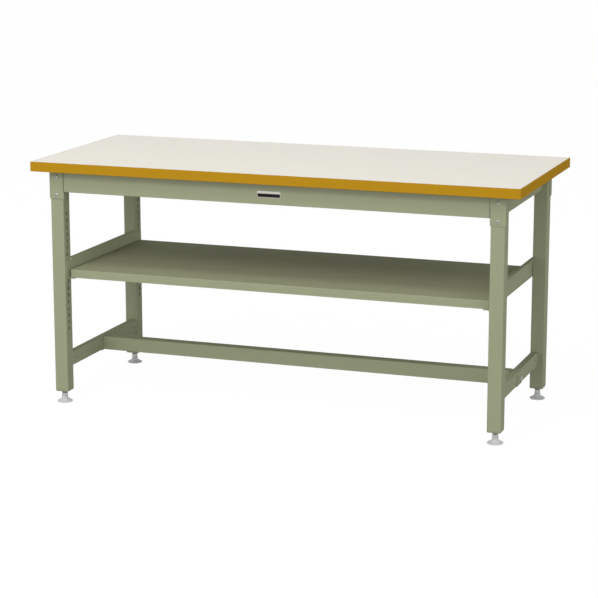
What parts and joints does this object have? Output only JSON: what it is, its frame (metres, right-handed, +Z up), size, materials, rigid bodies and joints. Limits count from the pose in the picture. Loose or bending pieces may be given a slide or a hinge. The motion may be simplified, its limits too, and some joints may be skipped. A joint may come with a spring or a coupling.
{
  "type": "assembly table",
  "caption": "Laminated assembly table on a bolted steel frame with slotted legs, a hooked-in lower shelf, an H of low rails and screw levelling feet.",
  "frame": {"origin": "on the floor, below the middle of the worktop, with the feet screwed in", "axes": "+X to the table's right, along the worktop; +Y to the back; +Z up"},
  "size_m": [1.8, 0.75, 0.895],
  "materials": {
    "frame_paint": "satin powder coat, grey-green",
    "end_cap": "moulded nylon in the frame's colour",
    "foot_pad": "light grey moulded nylon",
    "zinc_steel": "zinc-plated steel",
    "chipboard": "pressed wood particles, raw",
    "laminate": "warm white high-pressure laminate with a light sheen",
    "backing": "brown balancing sheet",
    "edge_band": "mustard-yellow plastic edge band",
    "name_plate": "bare plate, silver and black, no text"
  },
  "bodies": {
    "table": {"front_beam": "frame_paint", "back_beam": "frame_paint", "left_beam": "frame_paint", "right_beam": "frame_paint", "shelf_panel": "frame_paint", "shelf_stiffener": "frame_paint", "shelf_rail_left": "frame_paint", "shelf_rail_right": "frame_paint", "lower_rail_left": "frame_paint", "lower_rail_right": "frame_paint", "cross_rail": "frame_paint", "cross_rail_end_plate_left": "frame_paint", "cross_rail_end_plate_right": "frame_paint", "cross_rail_saddle_left": "frame_paint", "cross_rail_saddle_right": "frame_paint", "corner_bracket_front_left": "frame_paint", "corner_bracket_front_right": "frame_paint", "corner_bracket_back_left": "frame_paint", "corner_bracket_back_right": "frame_paint", "leg_front_left": "frame_paint", "leg_front_right": "frame_paint", "leg_back_left": "frame_paint", "leg_back_right": "frame_paint", "leg_end_cap_front_left": "end_cap", "leg_end_cap_front_right": "end_cap", "leg_end_cap_back_left": "end_cap", "leg_end_cap_back_right": "end_cap", "lock_nut_front_left": "zinc_steel", "lock_nut_front_right": "zinc_steel", "lock_nut_back_left": "zinc_steel", "lock_nut_back_right": "zinc_steel", "bracket_bolts": "zinc_steel", "bracket_nuts": "zinc_steel", "cross_rail_bolts": "zinc_steel", "cross_rail_nuts": "zinc_steel", "cross_rail_washers": "zinc_steel", "worktop_screws": "zinc_steel", "shelf_screws": "zinc_steel", "worktop_core": "chipboard", "worktop_laminate": "laminate", "worktop_backing": "backing", "edge_band_front": "edge_band", "edge_band_back": "edge_band", "edge_band_left": "edge_band", "edge_band_right": "edge_band", "name_plate": "name_plate"},
    "pad_front_left": {"foot_pad_front_left": "foot_pad"},
    "stem_front_left": {"foot_stem_front_left": "zinc_steel"},
    "pad_front_right": {"foot_pad_front_right": "foot_pad"},
    "stem_front_right": {"foot_stem_front_right": "zinc_steel"},
    "pad_back_left": {"foot_pad_back_left": "foot_pad"},
    "stem_back_left": {"foot_stem_back_left": "zinc_steel"},
    "pad_back_right": {"foot_pad_back_right": "foot_pad"},
    "stem_back_right": {"foot_stem_back_right": "zinc_steel"}
  },
  "joints": [
    {"name": "foot_height_front_left", "type": "slide", "parent": "table", "child": "pad_front_left", "axis": [0, 0, -1], "range_m": [0, 0.01925]},
    {"name": "foot_turn_front_left", "type": "hinge", "parent": "pad_front_left", "child": "stem_front_left", "pos_m": [-0.815, -0.3125, 0.03], "axis": [0, 0, -1], "range_deg": [0, 3960]},
    {"name": "foot_height_front_right", "type": "slide", "parent": "table", "child": "pad_front_right", "axis": [0, 0, -1], "range_m": [0, 0.01925]},
    {"name": "foot_turn_front_right", "type": "hinge", "parent": "pad_front_right", "child": "stem_front_right", "pos_m": [0.815, -0.3125, 0.03], "axis": [0, 0, -1], "range_deg": [0, 3960]},
    {"name": "foot_height_back_left", "type": "slide", "parent": "table", "child": "pad_back_left", "axis": [0, 0, -1], "range_m": [0, 0.01925]},
    {"name": "foot_turn_back_left", "type": "hinge", "parent": "pad_back_left", "child": "stem_back_left", "pos_m": [-0.815, 0.3125, 0.03], "axis": [0, 0, -1], "range_deg": [0, 3960]},
    {"name": "foot_height_back_right", "type": "slide", "parent": "table", "child": "pad_back_right", "axis": [0, 0, -1], "range_m": [0, 0.01925]},
    {"name": "foot_turn_back_right", "type": "hinge", "parent": "pad_back_right", "child": "stem_back_right", "pos_m": [0.815, 0.3125, 0.03], "axis": [0, 0, -1], "range_deg": [0, 3960]}
  ],
  "couplings": [
    {"joint": "foot_turn_front_left", "follows": "foot_height_front_left", "rad_per_m": 3590.4},
    {"joint": "foot_turn_front_right", "follows": "foot_height_front_right", "rad_per_m": 3590.4},
    {"joint": "foot_turn_back_left", "follows": "foot_height_back_left", "rad_per_m": 3590.4},
    {"joint": "foot_turn_back_right", "follows": "foot_height_back_right", "rad_per_m": 3590.4}
  ]
}
